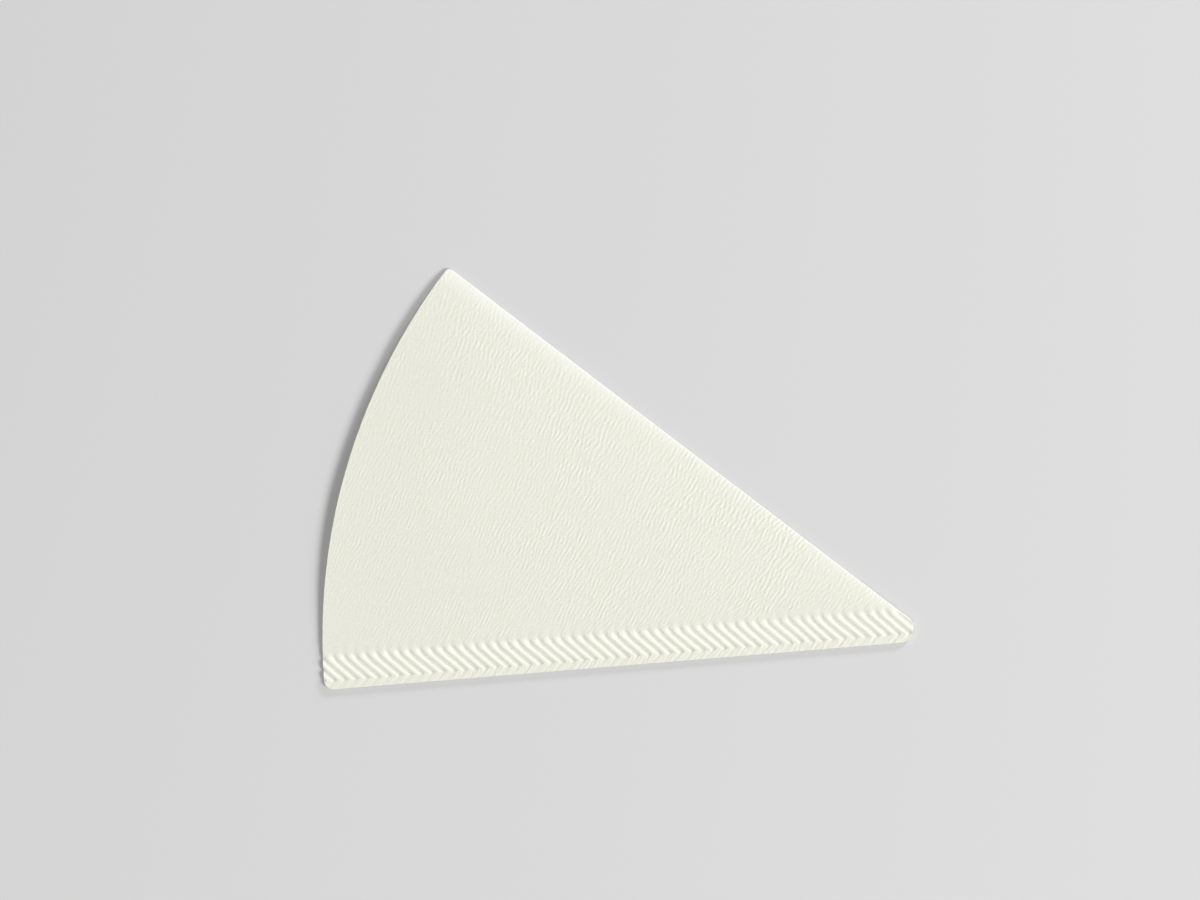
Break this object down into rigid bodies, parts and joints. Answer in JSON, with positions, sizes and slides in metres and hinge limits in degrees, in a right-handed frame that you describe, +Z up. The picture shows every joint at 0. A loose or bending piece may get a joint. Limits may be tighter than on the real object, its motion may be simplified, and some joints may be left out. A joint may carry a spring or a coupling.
{
  "type": "paper coffee filter",
  "caption": "Cone coffee filter of creped paper, folded flat into a sector, with a chevron-crimped seam along the straight cut edge and a pocket open at the curved rim.",
  "frame": {"origin": "middle of the lower ply's underside, halfway along the pocket's middle line", "axes": "+X along the cut edge from the rim towards the tip, +Y across the sheet from the cut edge towards the fold, +Z up from the lower ply"},
  "size_m": [0.1252, 0.0866, 0.0025],
  "materials": {
    "filter_paper": "matt, finely creped"
  },
  "bodies": {
    "root": {"folded_filter": "filter_paper"}
  },
  "joints": []
}
